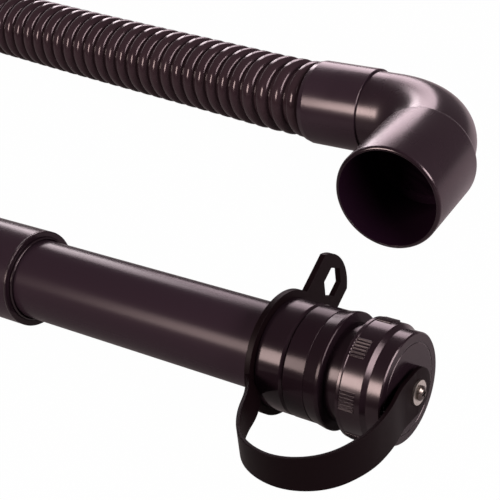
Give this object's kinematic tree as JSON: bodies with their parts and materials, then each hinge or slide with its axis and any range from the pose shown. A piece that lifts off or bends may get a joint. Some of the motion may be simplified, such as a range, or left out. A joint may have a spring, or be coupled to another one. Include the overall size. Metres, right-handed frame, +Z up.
{
  "type": "sewer hose kit",
  "caption": "Telescopic outlet tube with a tethered screw cap, joined by a ribbed drain hose to a swivelling elbow with a wide pipe socket.",
  "frame": {"origin": "on the ground, under the middle of the telescopic tube with its cap, tether and hose cuff", "axes": "+X along the telescopic tube towards its cap, +Y from the tube towards the side where the elbow lies, +Z up"},
  "size_m": [1.8879, 0.8448, 0.1104],
  "materials": {
    "tube": "black extruded plastic, satin gloss",
    "inner": "black extruded plastic, satin gloss",
    "bush": "black moulded plastic",
    "fitting": "black moulded plastic, satin",
    "collar": "black moulded plastic, satin",
    "tether": "black flexible moulding, satin",
    "cap": "black moulded plastic, satin",
    "cuff": "black moulded plastic, satin",
    "elbow": "black moulded plastic, satin gloss",
    "hose": "black ribbed soft plastic, glossy",
    "seal": "black rubber, matt",
    "steel": "bright stainless steel",
    "brass": "plain brass"
  },
  "bodies": {
    "outer": {"outer_tube": "tube", "mouth_bush": "bush", "wiper_seal": "seal", "tail_cuff": "cuff", "hose_loop": "hose", "hose_front": "hose", "front_cuff": "cuff"},
    "inner": {"inner_tube": "inner", "guide_ring": "bush", "coupling_body": "fitting"},
    "collar": {"coupling_collar": "collar"},
    "tether": {"tether_ring": "tether", "tether_strap": "tether"},
    "washer": {"strap_washer": "steel"},
    "cap": {"cap_shell": "cap", "cap_gasket": "seal", "screw_insert": "brass", "cap_screw": "steel"},
    "elbow": {"elbow": "elbow", "pipe_socket": "elbow", "elbow_seal": "seal"}
  },
  "joints": [
    {"name": "inner_slide", "type": "slide", "parent": "outer", "child": "inner", "axis": [1, 0, 0], "range_m": [-0.25, 0.1]},
    {"name": "collar_turn", "type": "hinge", "parent": "inner", "child": "collar", "pos_m": [0.34224, 0.01574, 0.052], "axis": [1, 0, 0], "range_deg": [0, 60]},
    {"name": "tether_swivel", "type": "hinge", "parent": "inner", "child": "tether", "pos_m": [0.29774, 0.01574, 0.052], "axis": [1, 0, 0], "continuous": true},
    {"name": "cap_travel", "type": "slide", "parent": "inner", "child": "washer", "axis": [1, 0, 0], "range_m": [0, 0.012], "deforming": ["tether_strap"]},
    {"name": "cap_turn", "type": "hinge", "parent": "washer", "child": "cap", "pos_m": [0.41224, 0.01574, 0.052], "axis": [1, 0, 0], "range_deg": [0, 720]},
    {"name": "elbow_swivel", "type": "hinge", "parent": "outer", "child": "elbow", "pos_m": [0.12224, 0.44375, 0.0552], "axis": [1, 0, 0], "continuous": true}
  ],
  "couplings": [
    {"joint": "cap_travel", "follows": "cap_turn", "m_per_rad": 0.00095492}
  ]
}
